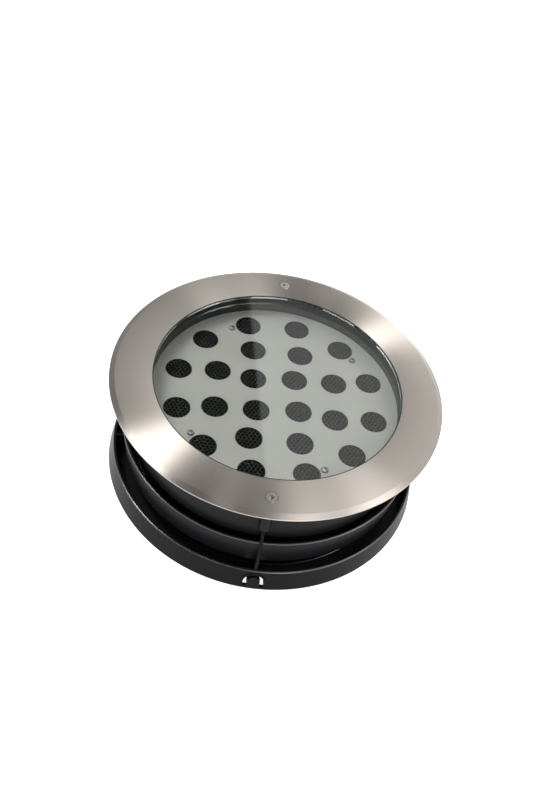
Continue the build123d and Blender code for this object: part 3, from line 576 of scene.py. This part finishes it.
land_z = ring_top_z - COUNTERSINK_LAND
cone_foot_z = land_z - COUNTERSINK_R + SHANK_R
cut_foot_z, cut_top_z = ring_foot_z - OVERCUT, ring_top_z + OVERCUT
for side in (-1, 1):
    bm = lathe([(0, cut_foot_z), (SHANK_R, cut_foot_z), (SHANK_R, cone_foot_z), (COUNTERSINK_R, land_z),
                (COUNTERSINK_R, cut_top_z), (0, cut_top_z)], segments=64, closed=False)
    bmesh.ops.translate(bm, verts=bm.verts, vec=(0, side * SCREW_PITCH_R, 0))
    cut(trim_ring, as_object("countersink", bm))
brushed_steel = brushed_round("brushed_steel", RING_COLOR, RING_GLOSS)
assemble(trim_ring, brushed_steel, "lamp_unit", "brushed_stainless", "trim_ring")


# ------------------------------------------------------------------ ring screws
# Two M5 countersunk screws of bright stainless steel with hexagon sockets, which pull the trim
# ring down on the sleeve's flange.
HEAD_R = 0.00445
HEAD_EDGE = 0.00012
SOCKET_AF = 0.0032         # across the flats
SOCKET_DEPTH = 0.0025
STEEL_COLOR = (0.60, 0.59, 0.57)

bright_steel = grained("bright_steel", STEEL_COLOR, (0.16, 0.26), metallic=1.0, grain_scale=1500.0, bump=0.05)

screw_tip_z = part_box("ring_screws")[0].z
socket_r = SOCKET_AF / math.sqrt(3)
screws = []
for side in (-1, 1):
    bm = lathe([(0, screw_tip_z), (SHANK_R, screw_tip_z), (SHANK_R, land_z - HEAD_R + SHANK_R),
                (HEAD_R, land_z), (HEAD_R, ring_top_z - HEAD_EDGE), (HEAD_R - HEAD_EDGE, ring_top_z),
                (0, ring_top_z)], segments=64, closed=False)
    screw = as_object("ring_screw", bm)
    bm = bmesh.new()
    bmesh.ops.create_cone(bm, cap_ends=True, segments=6, radius1=socket_r, radius2=socket_r,
                          depth=2 * SOCKET_DEPTH)
    bmesh.ops.translate(bm, verts=bm.verts, vec=(0, 0, ring_top_z))
    cut(screw, as_object("socket", bm))
    screw.data.transform(Matrix.Translation((0, side * SCREW_PITCH_R, 0)))
    screws.append(screw)
assemble(join("ring_screws_bright", screws), bright_steel, "lamp_unit", "stainless_fastener", "ring_screws")


# ------------------------------------------------------------------ glass
# An 8 mm disc of clear tempered glass with a polished edge, stepped so that its ledge is
# clamped under the trim ring and its face stands level with it.
GLASS_R = 0.0968
GLASS_LEDGE_H = 0.0048
GLASS_EDGE = 0.0001
GLASS_TINT = (0.965, 0.985, 0.97)
GLASS_IOR = 1.5
SHADOW_TINT = (0.9, 0.93, 0.91)           # what the glass lets through of the lamps' light

glass_low, glass_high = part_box("glass")
ledge_r, ledge_z = glass_high.x, glass_low.z + GLASS_LEDGE_H
bm = lathe([(0, glass_low.z), (ledge_r, glass_low.z), (ledge_r, ledge_z), (GLASS_R, ledge_z),
            (GLASS_R, glass_high.z), (0, glass_high.z)], closed=False)
soften(bm, GLASS_EDGE)
glass = as_object("glass_polished", bm)

clear_glass, nodes, links = new_material("clear_glass")
shader = nodes["Principled BSDF"]
shader.inputs["Base Color"].default_value = (*GLASS_TINT, 1)
shader.inputs["Roughness"].default_value = 0.0
shader.inputs["IOR"].default_value = GLASS_IOR
shader.inputs["Transmission Weight"].default_value = 1.0
path = nodes.new("ShaderNodeLightPath")
through = nodes.new("ShaderNodeBsdfTransparent")
through.inputs["Color"].default_value = (*SHADOW_TINT, 1)
either = nodes.new("ShaderNodeMixShader")
links.new(path.outputs["Is Shadow Ray"], either.inputs["Fac"])
links.new(shader.outputs[0], either.inputs[1])
links.new(through.outputs[0], either.inputs[2])
links.new(either.outputs[0], nodes["Material Output"].inputs["Surface"])
assemble(glass, clear_glass, "lamp_unit", "clear_glass", "glass")


# ------------------------------------------------------------------ glass gasket and rubber pieces
# Silicone and rubber seals: the gasket round the glass, the cover's cord gasket, the foam seat
# ring on the sleeve's flange, and the gland's own seal and washer.
CAVITY_R = 0.0986
LIP_R, LIP_OUT_R = 0.09685, 0.09755       # the gasket's lip stands between the glass and the ring
LIP_DROP = 0.00012         # and ends this far under their faces

gasket_low, gasket_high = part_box("glass_gasket")
lip_z = ring_top_z - LIP_DROP
bm = lathe([(CAVITY_R, gasket_low.z), (gasket_high.x, gasket_low.z), (gasket_high.x, gasket_high.z),
            (LIP_OUT_R, gasket_high.z), (LIP_OUT_R, lip_z), (LIP_R, lip_z), (LIP_R, ledge_z),
            (ledge_r, ledge_z), (ledge_r, glass_low.z), (CAVITY_R, glass_low.z)])
silicone = grained("silicone", (0.014, 0.015, 0.015), (0.45, 0.6), grain_scale=500.0, bump=0.1)
assemble(as_object("glass_gasket_moulded", bm), silicone, "lamp_unit", "silicone", "glass_gasket")
dress(silicone, "cover_gasket")
soft_rubber = grained("soft_rubber", (0.018, 0.018, 0.018), (0.7, 0.85), grain_scale=1200.0, bump=0.4)
dress(soft_rubber, "seat_gasket", "gland_seal", "gland_washer", "lead_grommet")


# ------------------------------------------------------------------ lamp body
# The sealed can that hangs from the ring: a die-cast aluminium bowl with cooling fins and a
# driver chamber under it, powder-coated dark grey, and its bolted bottom cover.
powder_coat = grained("powder_coat", (0.020, 0.023, 0.0215), (0.5, 0.65), specular=0.25,
                      grain_scale=1400.0, bump=0.35)
dress(powder_coat, "lamp_body", "body_cover")


# ------------------------------------------------------------------ shield panel
# A disc of 1.5 mm sheet with a round hole for each optic, painted satin silver-grey and held by
# four small screws on brass pillars.
PANEL_COLOR = (0.330, 0.318, 0.301)
HOLE_R = 0.0106
PUNCH_L = 0.01
PANEL_EDGE = 0.00006
PANEL_TURN = -10.25        # degrees from the ring screws' line
OPTIC_CIRCLES = ((0.0798, 12, 0.0), (0.0510, 8, 34.5), (0.0236, 4, 62.9))     # radius, count, start

panel_low, panel_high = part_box("shield_panel")


def optic_places():
    """A move from the middle to each of the 24 optics."""
    for radius, count, start in OPTIC_CIRCLES:
        for i in range(count):
            angle = math.radians(PANEL_TURN + start + i * 360 / count)
            yield Matrix.Translation((radius * math.cos(angle), radius * math.sin(angle), 0))


bm = lathe([(0, panel_low.z), (panel_high.x, panel_low.z), (panel_high.x, panel_high.z), (0, panel_high.z)],
           segments=192, closed=False)
panel = as_object("panel_painted", bm)
bm = bmesh.new()
for place in optic_places():
    bmesh.ops.create_cone(bm, cap_ends=True, segments=64, radius1=HOLE_R, radius2=HOLE_R, depth=PUNCH_L,
                          matrix=Matrix.Translation((0, 0, panel_high.z)) @ place)
cut(panel, as_object("holes", bm))
edge = panel.modifiers.new("edge", "BEVEL")
edge.width = PANEL_EDGE
edge.segments = 2
edge.limit_method = "ANGLE"
edge.harden_normals = True
satin_silver = grained("satin_silver", PANEL_COLOR, (0.36, 0.46), metallic=0.3, grain_scale=700.0, bump=0.06)
assemble(panel, satin_silver, "lamp_unit", "silver_panel", "shield_panel")


# ------------------------------------------------------------------ panel screws
# Four small pan-head screws of bright steel with cross recesses that hold the panel down.
PAN_R, PAN_H = 0.00275, 0.0019
PAN_DOME = ((1, 0), (1, 0.35), (0.85, 0.8), (0.5, 1))     # shares of the head's radius and height
RECESS_L, RECESS_W = 0.0032, 0.0007
PANEL_SCREW_R = 0.0798
PANEL_SCREW_ANGLES = (49.5, -49.5, 130.5, -130.5)

screws = []
for angle in PANEL_SCREW_ANGLES:
    dome = [(PAN_R * out, PAN_H * up) for out, up in PAN_DOME]
    bm = lathe([(0, 0), *dome, (0, PAN_H)], segments=32, closed=False)
    screw = as_object("panel_screw", bm)
    for width, length in ((RECESS_W, RECESS_L), (RECESS_L, RECESS_W)):
        bm = bmesh.new()
        bmesh.ops.create_cube(bm, size=1, matrix=Matrix.Translation((0, 0, PAN_H))
                              @ Matrix.Diagonal((width, length, PAN_H, 1)))
        cut(screw, as_object("recess", bm))
    turn = Matrix.Rotation(math.radians(PANEL_TURN + angle), 4, "Z")
    screw.data.transform(turn @ Matrix.Translation((PANEL_SCREW_R, 0, panel_high.z)))
    screws.append(screw)
zinc_steel = grained("zinc_steel", (0.26, 0.26, 0.25), (0.38, 0.5), metallic=1.0, grain_scale=1500.0,
                     bump=0.05)
panel_screws = join("panel_screws_bright", screws)
assemble(panel_screws, zinc_steel, "lamp_unit", "stainless_fastener", "panel_screws")


# ------------------------------------------------------------------ honeycomb louvres
# A black moulded honeycomb sits in each hole of the panel and hides its lens from the side:
# thin round-edged walls between some thirty small hexagonal cells, inside a round rim.
LOUVRE_R = 0.0105
RIM_W = 0.0003
RIM_SET = 0.0001           # how far the rim ends under the panel's face
CELL_PITCH = 0.0032
CELL_WALL = 0.0006
WALL_ROUND, WALL_ANGLE = 0.00015, 70
# Painted light and shade: the cells' walls are painted near-black deep down and lighter in a thin band at
# their tops, where light falls; the rim is painted near-black too.
CELL_SHADE_BLACK, WALL_TOP_PAINTED_LIGHT = (0.0005, 0.0005, 0.0005), (0.027, 0.0288, 0.026)
PAINTED_LIGHT_DEPTH = 0.0003         # how far down the walls the painted light on their tops reaches
ROUND_SIDES = 32

louvre_low, louvre_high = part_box("honeycomb_louvres")


def honeycomb():
    """One louvre at the middle: a sheet of hexagons clipped round, its walls extruded down."""
    bm = bmesh.new()
    reach = int(LOUVRE_R / CELL_PITCH) + 2
    for row in range(-reach, reach + 1):
        for column in range(-reach, reach + 1):
            spot = Vector(((column + row % 2 / 2) * CELL_PITCH, row * CELL_PITCH * math.sqrt(3) / 2, 0))
            if spot.length < LOUVRE_R + CELL_PITCH:
                bmesh.ops.create_circle(bm, cap_ends=True, segments=6, radius=CELL_PITCH / math.sqrt(3),
                                        matrix=Matrix.Translation(spot))
    bmesh.ops.remove_doubles(bm, verts=bm.verts, dist=CELL_PITCH / 50)
    for i in range(ROUND_SIDES):
        out = Matrix.Rotation(math.tau * i / ROUND_SIDES, 3, "Z") @ Vector((1, 0, 0))
        bmesh.ops.bisect_plane(bm, geom=bm.verts[:] + bm.edges[:] + bm.faces[:], clear_outer=True,
                               plane_co=out * (LOUVRE_R - RIM_W), plane_no=out)
    cells = bm.faces[:]
    bmesh.ops.inset_individual(bm, faces=cells, thickness=CELL_WALL / 2, use_even_offset=True)
    bmesh.ops.delete(bm, geom=cells, context="FACES")
    top = bm.faces[:]
    deep = bmesh.ops.extrude_face_region(bm, geom=top)
    lowered = [item for item in deep["geom"] if isinstance(item, bmesh.types.BMVert)]
    bmesh.ops.translate(bm, verts=lowered, vec=(0, 0, louvre_low.z - louvre_high.z))
    bmesh.ops.translate(bm, verts=bm.verts, vec=(0, 0, louvre_high.z))
    bmesh.ops.recalc_face_normals(bm, faces=bm.faces)
    soften(bm, WALL_ROUND, angle=WALL_ANGLE)
    return as_object("honeycomb", bm)


core = honeycomb()
rim_top_z = max(louvre_high.z, panel_high.z - RIM_SET)
rim = as_object("rim", lathe([(LOUVRE_R - RIM_W, louvre_low.z), (LOUVRE_R, louvre_low.z),
                              (LOUVRE_R, rim_top_z), (LOUVRE_R - RIM_W, rim_top_z)], segments=48))
for face in rim.data.polygons:
    face.material_index = 1
bm = bmesh.new()
for place in optic_places():
    for part in (core, rim):
        copy = part.data.copy()
        copy.transform(place)
        bm.from_mesh(copy)
for part in (core, rim):
    bpy.data.objects.remove(part)
louvre_black = grained("louvre_black", CELL_SHADE_BLACK, (0.22, 0.34), specular=0.2, grain_scale=2000.0, bump=0.05)
# Painted shade and painted light: the base colour goes from near-black deeper in the cells to lighter over
# the walls' top band.
nodes, links = louvre_black.node_tree.nodes, louvre_black.node_tree.links
height = nodes.new("ShaderNodeSeparateXYZ")
links.new(nodes.new("ShaderNodeTexCoord").outputs["Object"], height.inputs[0])
depth = nodes.new("ShaderNodeMapRange")
depth.inputs["From Min"].default_value = louvre_high.z - PAINTED_LIGHT_DEPTH
depth.inputs["From Max"].default_value = louvre_high.z
links.new(height.outputs["Z"], depth.inputs["Value"])
shade = nodes.new("ShaderNodeMix")
shade.data_type = "RGBA"
shade.inputs["A"].default_value = (*CELL_SHADE_BLACK, 1)
shade.inputs["B"].default_value = (*WALL_TOP_PAINTED_LIGHT, 1)
links.new(depth.outputs["Result"], shade.inputs["Factor"])
links.new(shade.outputs["Result"], nodes["Principled BSDF"].inputs["Base Color"])
# The rim is painted near-black: painted shade in the gap round each louvre.
rim_shade_black = grained("rim_shade_black", CELL_SHADE_BLACK, (0.5, 0.6), specular=0.1, grain_scale=2000.0, bump=0.05)
louvres = as_object("louvres_fine", bm)
louvres.data.materials.append(louvre_black)
louvres.data.materials.append(rim_shade_black)
assemble(louvres, louvre_black, "lamp_unit", "black_louvre", "honeycomb_louvres")


# ------------------------------------------------------------------ optics under the louvres
# Eight-sided black holders on the board carry clear acrylic collimators over the yellow
# phosphor chips of the diodes.
# The holders take the louvres' finish, which paints them near-black as shade.
dress(louvre_black, "lens_holders")
acrylic = grained("acrylic", (0.95, 0.96, 0.97), (0.02, 0.06), grain_scale=400.0, bump=0.02)
acrylic.node_tree.nodes["Principled BSDF"].inputs["Transmission Weight"].default_value = 1.0
dress(acrylic, "collimator_lenses")
phosphor = grained("phosphor", (0.80, 0.62, 0.12), (0.5, 0.7), grain_scale=3000.0, bump=0.2)
dress(phosphor, "led_emitters")


# ------------------------------------------------------------------ board, pad and pillars
# The round aluminium board under a white solder mask lies on a grey heat-conducting pad; brass
# pillars and steel screws go through both into the deck.
solder_mask = grained("solder_mask", (0.74, 0.75, 0.75), (0.3, 0.42), grain_scale=300.0, bump=0.08)
dress(solder_mask, "led_board")
heat_pad = grained("heat_pad", (0.17, 0.19, 0.22), (0.7, 0.85), grain_scale=1500.0, bump=0.3)
dress(heat_pad, "thermal_pad")
turned_brass = grained("turned_brass", (0.66, 0.47, 0.20), (0.2, 0.34), metallic=1.0, bump=0.1)
dress(turned_brass, "panel_standoffs", "sleeve_inserts")
dress(bright_steel, "board_screws", "driver_screws", "cover_screws")
dress(bright_steel, "trim_studs", "stud_washers", "stud_nuts")
white_nylon = grained("white_nylon", (0.72, 0.71, 0.66), (0.35, 0.5), grain_scale=600.0, bump=0.08)
dress(white_nylon, "board_connector")


# ------------------------------------------------------------------ driver and mains connection
# The driver is a closed dark moulded case screwed under the deck, with short red leads to the
# terminal block, where the incoming cable is clamped.
driver_case = grained("driver_case", (0.035, 0.036, 0.040), (0.4, 0.55), grain_scale=800.0, bump=0.2)
dress(driver_case, "driver_module", "terminal_block")
red_wire = grained("red_wire", (0.42, 0.025, 0.02), (0.3, 0.4), grain_scale=700.0, bump=0.05)
dress(red_wire, "led_leads", "input_leads")
plated_steel = grained("plated_steel", (0.52, 0.52, 0.50), (0.25, 0.4), metallic=1.0, grain_scale=1800.0)
dress(plated_steel, "terminal_screws")


# ------------------------------------------------------------------ cable gland and breather
# Black nylon fittings in the bottom cover: the gland with its locknut and cap, and the breather
# plug that lets the lamp's air change without water.
black_nylon = grained("black_nylon", (0.022, 0.022, 0.023), (0.42, 0.55), grain_scale=1000.0, bump=0.15)
dress(black_nylon, "gland_body", "gland_locknut", "gland_cap", "breather_vent")
